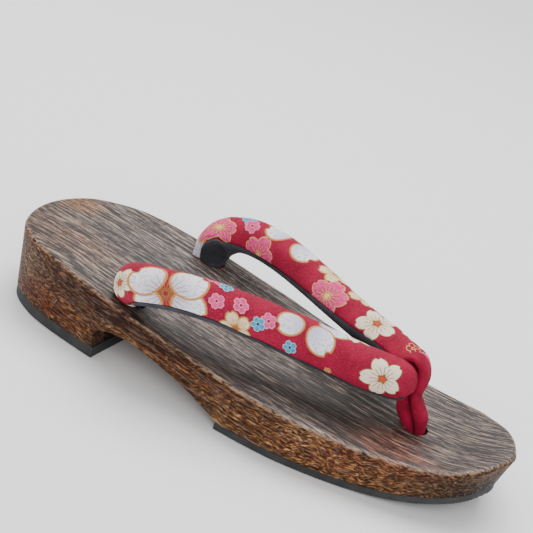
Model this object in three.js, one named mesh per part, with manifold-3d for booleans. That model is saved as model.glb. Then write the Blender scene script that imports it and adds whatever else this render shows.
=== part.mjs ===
// Low geta sandal for the right foot: a carved wooden base on two rubber treads,
// a padded cloth strap with a black lining, and a cloth thong at the toes.
// Millimetres, +Z up, +X from the heel to the toe, +Y to the shoe's left, which is its inner side.

import * as THREE from 'three';
import { mergeVertices } from 'three/addons/utils/BufferGeometryUtils.js';
import Module from 'manifold-3d';

const wasm = await Module();
wasm.setup();

// Base
const length = 240;
const halfWidth = 43.5;
const heelHeight = 35.6;
const ballHeight = 21.2;
const toeRise = 8.4;
const dishDepth = 0.6;
const rimRadius = 2.2;
const wallInset = 2.2;

// Rubber treads and the arch between them
const heelRubberThickness = 5;
const rubberThickness = 3.2;
const toeSpring = 12.6;
const springStart = 0.75;
const heelBevel = 2;
const heelBevelLength = 16;
const heelBlockLength = 64;
const archLength = 65;
const archHeight = 17.9;
const archLean = 1;
const rubberSlant = 1.6;

// Holes for the strap and the thong
const frontHoleShare = 0.827;
const frontHoleRadius = 4.8;
const rearHoleSetback = 10;
const rearHoleSpreadShare = 0.713;
const rearHoleRadius = 5.6;
const recessRadius = 11;
const recessDepth = 7;

// Strap, lining and thong
const strapRise = 22;
const strapHalfWidth = 8.8;
const strapThickness = 10.6;
const strapBelly = 2.2;
const strapWall = 1.2;
const neckRise = 1.6;
const liningThickness = 1.9;
const liningMargin = 0.4;
const liningClimb = 5;
const thongWidth = 6.4;
const thongThickness = 2.1;
const rearKnotHeight = 5;
const rearKnotWidth = 3.4;
const rearRecessDepth = 4.5;
const frontKnotRadius = 7.5;
const frontKnotHeight = 6;

// Clearances between pieces that touch
const seam = 0.3;
const liningSeam = 0.55;
const holeClearance = 0.5;

// Outline of the base: along as a share of the length, both sides as shares of the half width
const outline = [
  { along: 0, outer: 0, inner: 0 },
  { along: 0.004, outer: 0.2, inner: 0.2 },
  { along: 0.015, outer: 0.385, inner: 0.385 },
  { along: 0.035, outer: 0.56, inner: 0.56 },
  { along: 0.07, outer: 0.71, inner: 0.71 },
  { along: 0.12, outer: 0.832, inner: 0.836 },
  { along: 0.2, outer: 0.915, inner: 0.92 },
  { along: 0.32, outer: 0.977, inner: 0.98 },
  { along: 0.45, outer: 0.985, inner: 0.982 },
  { along: 0.52, outer: 0.995, inner: 0.944 },
  { along: 0.58, outer: 1, inner: 0.916 },
  { along: 0.64, outer: 0.988, inner: 0.907 },
  { along: 0.7, outer: 0.94, inner: 0.902 },
  { along: 0.8, outer: 0.802, inner: 0.882 },
  { along: 0.88, outer: 0.673, inner: 0.848 },
  { along: 0.94, outer: 0.513, inner: 0.68 },
  { along: 0.975, outer: 0.34, inner: 0.42 },
  { along: 0.993, outer: 0.135, inner: 0.19 },
  { along: 1, outer: -0.043, inner: 0.043 },
];

// Height of the tread: heel is the share of the drop from heel to ball, toe the share of the toe's rise
const tread = [
  { along: 0, heel: 1, toe: 0 },
  { along: 0.12, heel: 0.97, toe: 0 },
  { along: 0.25, heel: 0.77, toe: 0 },
  { along: 0.4, heel: 0.47, toe: 0 },
  { along: 0.55, heel: 0.22, toe: 0 },
  { along: 0.7, heel: 0.07, toe: 0 },
  { along: 0.8, heel: 0, toe: 0 },
  { along: 0.9, heel: 0, toe: 0.16 },
  { along: 1, heel: 0, toe: 1 },
];

// How far the foot of the wall stands in from the rim, as shares of the wall's inset
const wallFoot = [
  { along: 0, inset: 0.6 },
  { along: 0.1, inset: 0.9 },
  { along: 0.5, inset: 1 },
  { along: 0.85, inset: 1.5 },
  { along: 1, inset: 1.8 },
];

// Roof of the arch: along as a share of the arch's length, height as a share of its height
const archRoof = [
  { along: 0, height: 0.76 },
  { along: 0.05, height: 0.87 },
  { along: 0.13, height: 0.965 },
  { along: 0.26, height: 1 },
  { along: 0.37, height: 0.955 },
  { along: 0.54, height: 0.83 },
  { along: 0.71, height: 0.665 },
  { along: 0.886, height: 0.42 },
  { along: 1, height: 0.21 },
];

// One arm of the strap from its rear hole to the nose.
// along runs from the rear hole (0) to the front hole (1), out is a share of the rear hole's spread and
// rise a share of the strap's rise over the tread. roll tips the arm outward, in degrees, and
// width, depth and belly are shares of the strap's half width, thickness and belly.
const armRows = [
  { along: 0, out: 1, rise: 0.143, roll: 20, width: 0.8, depth: 0.72, belly: 1.1 },
  { along: -0.004, out: 1.035, rise: 0.313, roll: 19, width: 0.95, depth: 0.86, belly: 1 },
  { along: 0.01, out: 1.11, rise: 0.486, roll: 15, width: 1, depth: 0.97, belly: 1 },
  { along: 0.053, out: 1.181, rise: 0.635, roll: 9, width: 1, depth: 1, belly: 1 },
  { along: 0.115, out: 1.203, rise: 0.747, roll: 4, width: 1, depth: 1, belly: 1 },
  { along: 0.189, out: 1.165, rise: 0.832, roll: 0, width: 1, depth: 1, belly: 1 },
  { along: 0.31, out: 1.002, rise: 0.9, roll: 4, width: 1, depth: 1, belly: 1 },
  { along: 0.431, out: 0.804, rise: 0.92, roll: 13, width: 1, depth: 1, belly: 1 },
  { along: 0.55, out: 0.62, rise: 0.905, roll: 21, width: 1, depth: 1, belly: 1 },
  { along: 0.673, out: 0.459, rise: 0.873, roll: 30, width: 1, depth: 1, belly: 1 },
  { along: 0.79, out: 0.33, rise: 0.86, roll: 38, width: 1, depth: 1, belly: 1 },
  { along: 0.886, out: 0.205, rise: 0.86, roll: 36, width: 0.97, depth: 0.97, belly: 1 },
  { along: 0.924, out: 0.17, rise: 0.86, roll: 32, width: 0.84, depth: 0.86, belly: 1 },
  { along: 0.948, out: 0.155, rise: 0.858, roll: 29, width: 0.62, depth: 0.66, belly: 0.8 },
  { along: 0.962, out: 0.15, rise: 0.856, roll: 27, width: 0.3, depth: 0.32, belly: 0.5 },
];

// The thong's loop around the nose of the strap. back is how far a point lies behind the front hole,
// as a share of the strap's thickness, and up how high over the tread, as a share of the strap's rise.
const thongLoop = [
  { back: 0.745, up: 0.218 },
  { back: 1.066, up: 0.436 },
  { back: 1.377, up: 0.709 },
  { back: 1.5, up: 0.959 },
  { back: 1.311, up: 1.236 },
  { back: 0.84, up: 1.364 },
  { back: 0.434, up: 1.25 },
  { back: 0.283, up: 1.027 },
  { back: 0.311, up: 0.809 },
  { back: 0.368, up: 0.609 },
  { back: 0.236, up: 0.382 },
  { back: -0.009, up: 0.182 },
];

// Reads a column of a table at a place, through a curve that never overshoots its rows
function readTable(rows, key, column, place) {
  const last = rows.length - 1;
  const at = Math.min(Math.max(place, rows[0][key]), rows[last][key]);
  let row = 0;
  while (row < last - 1 && rows[row + 1][key] < at) row += 1;
  const slopeOf = (i) => (rows[i + 1][column] - rows[i][column]) / (rows[i + 1][key] - rows[i][key]);
  const tangentAt = (i) => {
    if (i === 0) return slopeOf(0);
    if (i === last) return slopeOf(last - 1);
    const before = slopeOf(i - 1);
    const after = slopeOf(i);
    return before * after <= 0 ? 0 : (2 * before * after) / (before + after);
  };
  const span = rows[row + 1][key] - rows[row][key];
  const t = (at - rows[row][key]) / span;
  const start = rows[row][column] * (1 + 2 * t) * (1 - t) ** 2;
  const end = rows[row + 1][column] * t * t * (3 - 2 * t);
  const bend = tangentAt(row) * t * (1 - t) ** 2 - tangentAt(row + 1) * t * t * (1 - t);
  return start + end + bend * span;
}

// Turns closed loops of points into one closed skin. Loops that shrink to a line or point close by themselves.
function skin(loops) {
  const count = loops[0].length;
  const corners = [];
  const addTriangle = (a, b, c) => corners.push(...a.toArray(), ...b.toArray(), ...c.toArray());
  for (let i = 0; i + 1 < loops.length; i += 1) {
    for (let k = 0; k < count; k += 1) {
      const next = (k + 1) % count;
      addTriangle(loops[i][k], loops[i + 1][k], loops[i + 1][next]);
      addTriangle(loops[i][k], loops[i + 1][next], loops[i][next]);
    }
  }
  const middleOf = (loop) => {
    const sum = new THREE.Vector3();
    for (const point of loop) sum.add(point);
    return sum.divideScalar(loop.length);
  };
  const first = loops[0];
  const final = loops[loops.length - 1];
  for (let k = 0; k < count; k += 1) {
    const next = (k + 1) % count;
    addTriangle(middleOf(first), first[k], first[next]);
    addTriangle(middleOf(final), final[next], final[k]);
  }
  const geometry = new THREE.BufferGeometry();
  geometry.setAttribute('position', new THREE.Float32BufferAttribute(corners, 3));
  return geometry;
}

// Merges shared corners and drops triangles that have shrunk to a line
function weld(geometry) {
  const bare = geometry.clone();
  bare.deleteAttribute('normal');
  bare.deleteAttribute('uv');
  const welded = mergeVertices(bare, 1e-4);
  const index = welded.index.array;
  const kept = [];
  for (let i = 0; i < index.length; i += 3) {
    const [a, b, c] = [index[i], index[i + 1], index[i + 2]];
    if (a !== b && b !== c && c !== a) kept.push(a, b, c);
  }
  welded.setIndex(kept);
  return welded;
}

// Makes a solid for joining and cutting, with its faces pointing out
function solid(geometry) {
  const welded = weld(geometry);
  const vertProperties = new Float32Array(welded.attributes.position.array);
  const triVerts = new Uint32Array(welded.index.array);
  const made = new wasm.Manifold(new wasm.Mesh({ numProp: 3, vertProperties, triVerts }));
  if (made.volume() > 0) return made;
  for (let i = 0; i < triVerts.length; i += 3) {
    [triVerts[i + 1], triVerts[i + 2]] = [triVerts[i + 2], triVerts[i + 1]];
  }
  return new wasm.Manifold(new wasm.Mesh({ numProp: 3, vertProperties, triVerts }));
}

// Keeps the largest body, so that crumbs left by a cut fall away
function mainBody(made) {
  const bodies = made.decompose();
  bodies.sort((a, b) => b.volume() - a.volume());
  return bodies[0];
}

// The finest edge that a cut may leave
const finestEdge = 0.01;

function geometryOf(made) {
  const mesh = made.simplify(finestEdge).getMesh();
  const geometry = new THREE.BufferGeometry();
  geometry.setAttribute('position', new THREE.BufferAttribute(new Float32Array(mesh.vertProperties), 3));
  geometry.setIndex([...mesh.triVerts]);
  geometry.computeVertexNormals();
  return geometry;
}

// A side-view shape drawn in X and Z, extruded across the whole base
function acrossBase(points) {
  const shape = new THREE.Shape(points);
  const depth = 4 * halfWidth;
  const geometry = new THREE.ExtrudeGeometry(shape, { depth, bevelEnabled: false });
  geometry.rotateX(Math.PI / 2);
  geometry.translate(0, depth / 2, 0);
  return solid(geometry);
}

// An upright round bar for cutting a hole
function uprightBar(radius, x, y, bottom, top) {
  const geometry = new THREE.CylinderGeometry(radius, radius, top - bottom, 24);
  geometry.rotateX(Math.PI / 2);
  geometry.translate(x, y, (top + bottom) / 2);
  return solid(geometry);
}

// Height of the tread over the floor
function treadAt(x) {
  const share = x / length;
  const drop = (heelHeight - ballHeight) * readTable(tread, 'along', 'heel', share);
  return ballHeight + drop + toeRise * readTable(tread, 'along', 'toe', share);
}

// Share of the toe's spring under a place: it starts at springStart, a share of the length
function springAt(x) {
  const share = Math.max(0, (x / length - springStart) / (1 - springStart));
  return share * share;
}

// Underside of the rubber: flat, with a bevel at the back of the heel and the spring at the toe
function soleAt(x) {
  const back = Math.max(0, 1 - x / heelBevelLength);
  return heelBevel * back * back + toeSpring * springAt(x);
}

// Underside of the wood
function woodFootAt(x) {
  const rubber = x < heelBlockLength + archLength / 2 ? heelRubberThickness : rubberThickness;
  return rubber + seam + toeSpring * springAt(x);
}

function archRoofAt(x) {
  const share = (x - heelBlockLength) / archLength;
  return archHeight * readTable(archRoof, 'along', 'height', share);
}

// A point of the rim at an angle from the heel (0) to the toe (PI), moved in by an inset.
// side is -1 for the shoe's outer side and 1 for its inner side.
const outlineByAngle = outline.map((row) => ({ ...row, angle: Math.acos(1 - 2 * row.along) }));

function rimPoint(angle, side, inset) {
  const column = side < 0 ? 'outer' : 'inner';
  const half = (at) => side * halfWidth * readTable(outlineByAngle, 'angle', column, at);
  const step = 1e-3;
  const before = Math.max(0, angle - step);
  const after = Math.min(Math.PI, angle + step);
  const along = (at) => (length * (1 - Math.cos(at))) / 2;
  const tangent = new THREE.Vector2(along(after) - along(before), half(after) - half(before)).normalize();
  const atEnd = angle < step || angle > Math.PI - step;
  const normal = new THREE.Vector2(-side * tangent.y, side * tangent.x);
  if (atEnd) normal.set(angle < step ? -1 : 1, 0);
  return new THREE.Vector2(along(angle) - normal.x * inset, half(angle) - normal.y * inset);
}

const baseStations = 46;
const treadLines = 8;
const floorLines = 4;
const angleOf = (i) => (Math.PI * i) / baseStations;

function footInset(angle) {
  return wallInset * readTable(wallFoot, 'along', 'inset', (1 - Math.cos(angle)) / 2);
}

// Places of the holes, which keep to the length and the width of the base
const frontHoleAlong = frontHoleShare * length;
const rearHoleAlong = heelBlockLength + rearHoleSetback;
const rearHoleSpread = rearHoleSpreadShare * halfWidth;

// The wooden block before the arch and the holes are cut
function woodBlock() {
  const wallShares = [0, 0.35, 0.7];
  const roundAngles = [0, 0.5, 1, Math.PI / 2];
  const wallOf = (angle, side) => {
    const rim = rimPoint(angle, side, 0);
    const rimHeight = treadAt(rim.x) - rimRadius;
    const inset = footInset(angle);
    const points = wallShares.map((share) => {
      const flat = rimPoint(angle, side, inset * (1 - share));
      const foot = woodFootAt(flat.x);
      return new THREE.Vector3(flat.x, flat.y, foot + (rimHeight - foot) * share);
    });
    for (const turn of roundAngles) {
      const flat = rimPoint(angle, side, rimRadius * (1 - Math.cos(turn)));
      points.push(new THREE.Vector3(flat.x, flat.y, treadAt(flat.x) - rimRadius * (1 - Math.sin(turn))));
    }
    return points;
  };
  const loops = [];
  for (let i = 0; i <= baseStations; i += 1) {
    const outer = wallOf(angleOf(i), -1);
    const inner = wallOf(angleOf(i), 1);
    const loop = [...outer];
    for (let k = 1; k < treadLines; k += 1) {
      const share = k / treadLines;
      const point = outer[outer.length - 1].clone().lerp(inner[inner.length - 1], share);
      const fade = Math.sin((Math.PI * i) / baseStations);
      point.z = treadAt(point.x) - dishDepth * Math.sin(Math.PI * share) * fade;
      loop.push(point);
    }
    loop.push(...inner.reverse());
    for (let k = 1; k < floorLines; k += 1) {
      const point = inner[inner.length - 1].clone().lerp(outer[0], k / floorLines);
      point.z = woodFootAt(point.x);
      loop.push(point);
    }
    loops.push(loop);
  }
  return solid(skin(loops));
}

// A rubber sheet under the whole base, later cut to the heel and the forefoot
function rubberSheet() {
  const edgeOf = (angle, side) => {
    const flat = rimPoint(angle, side, footInset(angle) + seam);
    const low = new THREE.Vector3(flat.x, flat.y, soleAt(flat.x));
    const high = new THREE.Vector3(flat.x, flat.y, woodFootAt(flat.x) - seam);
    return [low, high];
  };
  const loops = [];
  for (let i = 0; i <= baseStations; i += 1) {
    const [outerLow, outerHigh] = edgeOf(angleOf(i), -1);
    const [innerLow, innerHigh] = edgeOf(angleOf(i), 1);
    loops.push([outerLow, outerHigh, innerHigh, innerLow]);
  }
  return solid(skin(loops));
}

const ballStart = heelBlockLength + archLength;

function archCut() {
  const steps = 24;
  const below = -length / 8;
  const points = [new THREE.Vector2(heelBlockLength, below), new THREE.Vector2(heelBlockLength, 0)];
  const startHeight = archHeight * archRoof[0].height;
  points.push(new THREE.Vector2(heelBlockLength - archLean, startHeight));
  for (let i = 1; i <= steps; i += 1) {
    const x = heelBlockLength + (archLength * i) / steps;
    points.push(new THREE.Vector2(x, archRoofAt(x)));
  }
  points.push(new THREE.Vector2(ballStart, below));
  return acrossBase(points);
}

// Neck of an arm in its rear hole, and the knot and the recess around it
const neckRadius = rearHoleRadius - holeClearance;
const strapReach = frontHoleAlong - rearHoleAlong;
const knotBore = neckRadius + seam;
const knotReach = knotBore + rearKnotWidth;
const rearRecessTop = archRoofAt(rearHoleAlong) + rearRecessDepth;
const neckEnd = rearRecessTop - seam - rearKnotHeight;

function makeWoodBase() {
  const top = 2 * heelHeight;
  const recessTop = woodFootAt(frontHoleAlong) + recessDepth;
  let base = woodBlock().subtract(archCut());
  base = base.subtract(uprightBar(frontHoleRadius, frontHoleAlong, 0, -1, top));
  base = base.subtract(uprightBar(recessRadius, frontHoleAlong, 0, -1, recessTop));
  for (const side of [-1, 1]) {
    const y = side * rearHoleSpread;
    base = base.subtract(uprightBar(rearHoleRadius, rearHoleAlong, y, -1, top));
    base = base.subtract(uprightBar(knotReach + holeClearance, rearHoleAlong, y, -1, rearRecessTop));
  }
  return geometryOf(base);
}

function makeHeelRubber() {
  const points = [
    new THREE.Vector2(-length, -length),
    new THREE.Vector2(heelBlockLength, -length),
    new THREE.Vector2(heelBlockLength, length),
    new THREE.Vector2(-length, length),
  ];
  return geometryOf(rubberSheet().intersect(acrossBase(points)));
}

function makeForefootRubber() {
  const points = [
    new THREE.Vector2(ballStart + rubberSlant, -rubberThickness / 2),
    new THREE.Vector2(2 * length, -rubberThickness / 2),
    new THREE.Vector2(2 * length, length),
    new THREE.Vector2(ballStart, length),
    new THREE.Vector2(ballStart, rubberThickness),
    new THREE.Vector2(ballStart + rubberSlant, 0),
  ];
  const tread = rubberSheet().intersect(acrossBase(points));
  return geometryOf(tread.subtract(uprightBar(recessRadius, frontHoleAlong, 0, -1, ballHeight)));
}

// Path and sections of one arm of the strap, from the end of its neck under the arch to the nose
function armStations(side, steps) {
  const neckTop = treadAt(rearHoleAlong) + neckRise;
  const neckShares = [0, 0.5, 1];
  const rows = neckShares.map((share) => ({
    place: new THREE.Vector3(rearHoleAlong, side * rearHoleSpread, neckEnd + (neckTop - neckEnd) * share),
    roll: 0,
    width: neckRadius,
    depth: neckRadius,
    belly: neckRadius,
  }));
  for (const row of armRows) {
    const x = rearHoleAlong + row.along * strapReach;
    rows.push({
      place: new THREE.Vector3(x, side * row.out * rearHoleSpread, treadAt(x) + row.rise * strapRise),
      roll: THREE.MathUtils.degToRad(row.roll),
      width: row.width * strapHalfWidth,
      depth: row.depth * strapThickness,
      belly: row.belly * strapBelly,
    });
  }
  const path = new THREE.CatmullRomCurve3(rows.map((row) => row.place));
  const outward = new THREE.Vector3(0, side, 0);
  const stations = [];
  for (let i = 0; i <= steps; i += 1) {
    const t = i / steps;
    const at = t * (rows.length - 1);
    const row = Math.min(Math.floor(at), rows.length - 2);
    const blend = at - row;
    const mix = (column) => rows[row][column] * (1 - blend) + rows[row + 1][column] * blend;
    const tangent = path.getTangent(t);
    const out = outward.clone().addScaledVector(tangent, -outward.dot(tangent)).normalize();
    const up = new THREE.Vector3().crossVectors(tangent, out).multiplyScalar(side);
    const roll = mix('roll');
    const across = out.clone().multiplyScalar(Math.cos(roll)).addScaledVector(up, -Math.sin(roll));
    const normal = up.clone().multiplyScalar(Math.cos(roll)).addScaledVector(out, Math.sin(roll));
    stations.push({
      place: path.getPoint(t),
      tangent,
      across,
      normal,
      width: mix('width'),
      depth: mix('depth'),
      belly: mix('belly'),
    });
  }
  return stations;
}

// A loop of the padded section: round over the top, nearly flat below, moved out or in by a margin
function paddedLoop(station, margin) {
  const sides = 14;
  const loop = [];
  for (let k = 0; k < sides; k += 1) {
    const turn = (2 * Math.PI * k) / sides;
    const height = Math.sin(turn) > 0 ? station.depth : station.belly;
    const across = station.width * Math.cos(turn);
    const up = height * Math.sin(turn);
    const outward = new THREE.Vector2(height * Math.cos(turn), station.width * Math.sin(turn)).normalize();
    loop.push(
      station.place
        .clone()
        .addScaledVector(station.across, across + margin * outward.x)
        .addScaledVector(station.normal, up + margin * outward.y),
    );
  }
  return loop;
}

const armSteps = 34;

function paddedArm(side, margin) {
  const loops = armStations(side, armSteps).map((station) => paddedLoop(station, margin));
  return solid(skin(loops));
}

// The hollow inside an arm, open at the end of its neck and closed short of the nose
function armHollow(side) {
  const stations = armStations(side, armSteps);
  const loops = [];
  for (const station of stations) {
    const narrow = Math.min(station.width, station.depth);
    if (narrow > 2 * strapWall) loops.push(paddedLoop(station, -strapWall));
  }
  const below = loops[0].map((point) => point.clone().add(new THREE.Vector3(0, 0, -strapWall)));
  return solid(skin([below, ...loops]));
}

const frontKnotMiddle = woodFootAt(frontHoleAlong) + recessDepth - seam - frontKnotHeight / 2;

// The thong's band runs up from its knot, round the nose of the strap and back down
function thongStations() {
  const floor = treadAt(frontHoleAlong);
  const legOffset = thongThickness / 2 + seam / 2;
  const spot = (back, z) => new THREE.Vector3(frontHoleAlong - back, 0, z);
  const points = [spot(legOffset, frontKnotMiddle), spot(legOffset, floor)];
  for (const row of thongLoop) {
    points.push(spot(row.back * strapThickness, floor + row.up * strapRise));
  }
  points.push(spot(-legOffset, floor), spot(-legOffset, frontKnotMiddle));
  const path = new THREE.CatmullRomCurve3(points);
  const steps = 52;
  const stations = [];
  for (let i = 0; i <= steps; i += 1) {
    const t = i / steps;
    const tangent = path.getTangent(t);
    stations.push({ place: path.getPoint(t), normal: new THREE.Vector3(-tangent.z, 0, tangent.x) });
  }
  return stations;
}

function thongBand(margin) {
  const sides = 10;
  const loops = thongStations().map((station) => {
    const loop = [];
    for (let k = 0; k < sides; k += 1) {
      const turn = (2 * Math.PI * (k + 0.5)) / sides;
      const squared = (value) => Math.sign(value) * Math.sqrt(Math.abs(value));
      const across = (thongWidth / 2 + margin) * squared(Math.cos(turn));
      const up = (thongThickness / 2 + margin) * squared(Math.sin(turn));
      loop.push(station.place.clone().addScaledVector(station.normal, up).add(new THREE.Vector3(0, across, 0)));
    }
    return loop;
  });
  return solid(skin(loops));
}

function makeStrapUpper() {
  const whole = paddedArm(-1, 0).add(paddedArm(1, 0));
  const hollow = armHollow(-1).add(armHollow(1));
  return geometryOf(mainBody(whole.subtract(hollow).subtract(thongBand(seam))));
}

// The lining lies under the belly of each arm, from above the rear hole to the nose
function liningArm(side) {
  const stations = armStations(side, armSteps).filter((station) => {
    const clearOfHole = station.place.z - treadAt(station.place.x) > liningClimb;
    return clearOfHole && station.width > 3 * liningThickness;
  });
  const shares = [-1, -0.6, 0, 0.6, 1];
  const loops = stations.map((station) => {
    const half = station.width - liningMargin;
    const pointAt = (share, drop) => {
      const round = Math.sqrt(1 - ((share * half) / station.width) ** 2);
      return station.place
        .clone()
        .addScaledVector(station.across, half * share)
        .addScaledVector(station.normal, -station.belly * round - liningSeam - drop);
    };
    const high = shares.map((share) => pointAt(share, 0));
    const low = shares.map((share) => pointAt(share, liningThickness));
    return [...high, ...low.reverse()];
  });
  return solid(skin(loops));
}

function makeStrapLining() {
  const padding = paddedArm(-1, seam).add(paddedArm(1, seam));
  const strips = liningArm(-1).add(liningArm(1));
  return geometryOf(mainBody(strips.subtract(padding).subtract(thongBand(seam))));
}

// The knot sits under the front hole, in the recess
function thongKnot() {
  const geometry = new THREE.SphereGeometry(frontKnotRadius, 16, 10);
  geometry.rotateX(Math.PI / 2);
  geometry.scale(1, 1, frontKnotHeight / 2 / frontKnotRadius);
  geometry.translate(frontHoleAlong, 0, frontKnotMiddle);
  return solid(geometry);
}

function makeToeLoop() {
  return geometryOf(thongBand(0).add(thongKnot()));
}

// A ring of knotted cord around the neck of an arm, under the roof of the arch
function makeRearKnot(side) {
  const profile = [];
  const sides = 10;
  for (let k = 0; k <= sides; k += 1) {
    const turn = (2 * Math.PI * k) / sides;
    const radius = knotBore + (rearKnotWidth * (1 + Math.cos(turn))) / 2;
    profile.push(new THREE.Vector2(radius, (rearKnotHeight / 2) * Math.sin(turn)));
  }
  const geometry = new THREE.LatheGeometry(profile, 16);
  geometry.rotateX(Math.PI / 2);
  geometry.translate(rearHoleAlong, side * rearHoleSpread, rearRecessTop - seam - rearKnotHeight / 2);
  return geometryOf(solid(geometry));
}

const charredWood = new THREE.MeshStandardMaterial({ color: '#4a3a30', roughness: 0.6, metalness: 0 });
const blackRubber = new THREE.MeshStandardMaterial({ color: '#343537', roughness: 0.85, metalness: 0 });
const printedCotton = new THREE.MeshStandardMaterial({ color: '#b92b49', roughness: 0.9, metalness: 0 });
const blackVelvet = new THREE.MeshStandardMaterial({ color: '#25262b', roughness: 1, metalness: 0 });
const redCotton = new THREE.MeshStandardMaterial({ color: '#c52e4e', roughness: 0.9, metalness: 0 });
const hempCord = new THREE.MeshStandardMaterial({ color: '#b9a98a', roughness: 0.95, metalness: 0 });

function addPiece(group, name, geometry, material) {
  const piece = new THREE.Mesh(geometry, material);
  piece.name = name;
  group.add(piece);
}

const sandal = new THREE.Group();
addPiece(sandal, 'wood_base', makeWoodBase(), charredWood);
addPiece(sandal, 'heel_rubber', makeHeelRubber(), blackRubber);
addPiece(sandal, 'forefoot_rubber', makeForefootRubber(), blackRubber);
addPiece(sandal, 'strap_upper', makeStrapUpper(), printedCotton);
addPiece(sandal, 'strap_lining', makeStrapLining(), blackVelvet);
addPiece(sandal, 'toe_loop', makeToeLoop(), redCotton);
addPiece(sandal, 'rear_knot_outer', makeRearKnot(-1), hempCord);
addPiece(sandal, 'rear_knot_inner', makeRearKnot(1), hempCord);

// The sandal stands on the floor with the middle of its box over the origin
const bounds = new THREE.Box3().setFromObject(sandal);
const middle = bounds.getCenter(new THREE.Vector3());
sandal.position.set(-middle.x, -middle.y, -bounds.min.z);
sandal.updateMatrixWorld(true);

export default sandal;
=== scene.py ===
# A low geta sandal for the right foot, dressed for its photograph: scorched and brushed wood,
# black rubber treads, a padded strap in cherry blossom cotton, a velvet lining and a red thong.
# Shoe millimetres run from the back of the heel (x 0) to the toe (x 240), as in the part.
import math

import bmesh
import bpy
from mathutils import Matrix, Vector, kdtree, noise


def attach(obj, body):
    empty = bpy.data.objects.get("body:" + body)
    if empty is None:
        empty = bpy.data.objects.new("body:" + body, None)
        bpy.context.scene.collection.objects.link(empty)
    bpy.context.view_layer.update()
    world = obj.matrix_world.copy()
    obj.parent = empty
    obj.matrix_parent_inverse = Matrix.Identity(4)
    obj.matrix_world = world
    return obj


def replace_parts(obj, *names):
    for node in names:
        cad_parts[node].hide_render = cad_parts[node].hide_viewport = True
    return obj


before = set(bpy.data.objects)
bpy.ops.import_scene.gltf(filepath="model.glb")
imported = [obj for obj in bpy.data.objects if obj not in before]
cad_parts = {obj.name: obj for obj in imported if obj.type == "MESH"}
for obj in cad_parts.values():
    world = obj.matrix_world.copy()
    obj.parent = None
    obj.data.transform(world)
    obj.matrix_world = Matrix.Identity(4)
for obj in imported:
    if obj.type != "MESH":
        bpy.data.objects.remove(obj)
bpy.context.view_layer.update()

MM = 0.001

# Sizes of the real sandal, in millimetres

LENGTH = 240.0
HALF_LENGTH = LENGTH / 2
HALF_WIDTH = 43.5
HEEL_HEIGHT = 35.6
BALL_HEIGHT = 21.2
TOE_RISE = 8.4
DISH_DEPTH = 0.6
RIM_RADIUS = 2.2
WALL_INSET = 2.2
HEEL_RUBBER_THICKNESS = 5.0
RUBBER_THICKNESS = 3.2
TOE_SPRING = 12.6
SPRING_START = 0.75
HEEL_BEVEL = 2.0
HEEL_BEVEL_LENGTH = 16.0
HEEL_BLOCK_LENGTH = 64.0
ARCH_LENGTH = 65.0
ARCH_HEIGHT = 17.9
ARCH_LEAN = 1.0
BALL_START = HEEL_BLOCK_LENGTH + ARCH_LENGTH
FRONT_HOLE_ALONG = 0.827 * LENGTH
FRONT_HOLE_RADIUS = 4.8
REAR_HOLE_ALONG = HEEL_BLOCK_LENGTH + 10.0
REAR_HOLE_SPREAD = 0.713 * HALF_WIDTH
REAR_HOLE_RADIUS = 5.6
RECESS_RADIUS = 11.0
RECESS_DEPTH = 7.0
REAR_RECESS_RADIUS = 9.3
REAR_RECESS_DEPTH = 4.5
SEAM = 0.3
RIB = 1.2
RIB_DEPTH = 0.35
STRAP_RISE = 22.0
STRAP_HALF_WIDTH = 8.8
STRAP_THICKNESS = 10.6
STRAP_BELLY = 2.2
FOOT_GAP = 0.35
NECK_RADIUS = 5.1
NECK_FRONT = 1.4
NECK_TOP_SUNK = 0.6
LINING_THICKNESS = 1.9
LINING_SEAM = 0.4
LINING_MARGIN = 0.2
LINING_NECK_HALF_WIDTH = 3.4
LINING_NECK_GAP = 0.3
LINING_SUNK = (8.0, 0.4)
LINING_LEAST_HALF_WIDTH = 3 * LINING_THICKNESS
THONG_KNOT_RADIUS = 7.5
THONG_KNOT_HEIGHT = 6.0
CORD_RADIUS = 1.2
CORD_TURNS = 2.0
CORD_KNOT_RADIUS = 6.9
CORD_KNOT_HEIGHT = 5.0
CORD_KNOT_PLAY = 0.1


def in_frame(point):
    """Shoe millimetres to the frame's metres."""
    return Vector((point[0] - HALF_LENGTH, point[1], point[2])) * MM


# Outline of the block: share of the length, then the outer and inner sides as shares of the half width
OUTLINE = [
    (0, 0, 0), (0.004, 0.2, 0.2), (0.015, 0.385, 0.385), (0.035, 0.56, 0.56), (0.07, 0.71, 0.71),
    (0.12, 0.832, 0.836), (0.2, 0.915, 0.92), (0.32, 0.977, 0.98), (0.45, 0.985, 0.982),
    (0.52, 0.995, 0.944), (0.58, 1, 0.916), (0.64, 0.988, 0.907), (0.7, 0.94, 0.902),
    (0.8, 0.802, 0.882), (0.88, 0.673, 0.848), (0.94, 0.513, 0.68), (0.975, 0.34, 0.42),
    (0.993, 0.135, 0.19), (1, -0.043, 0.043),
]

# Height of the tread: share of the length, share of the drop from heel to ball, share of the toe's rise
TREAD = [
    (0, 1, 0), (0.12, 0.97, 0), (0.25, 0.77, 0), (0.4, 0.47, 0), (0.55, 0.22, 0), (0.7, 0.07, 0),
    (0.8, 0, 0), (0.9, 0, 0.16), (1, 0, 1),
]

# How far the foot of the wall stands in from the rim: share of the length, share of the wall's inset
WALL_FOOT = [(0, 0.6), (0.1, 0.9), (0.5, 1), (0.85, 1.5), (1, 1.8)]

# Roof of the arch: share of its length, share of its height
ARCH_ROOF = [
    (0, 0.76), (0.05, 0.87), (0.13, 0.965), (0.26, 1), (0.37, 0.955), (0.54, 0.83), (0.71, 0.665),
    (0.886, 0.42), (1, 0.21),
]

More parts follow.
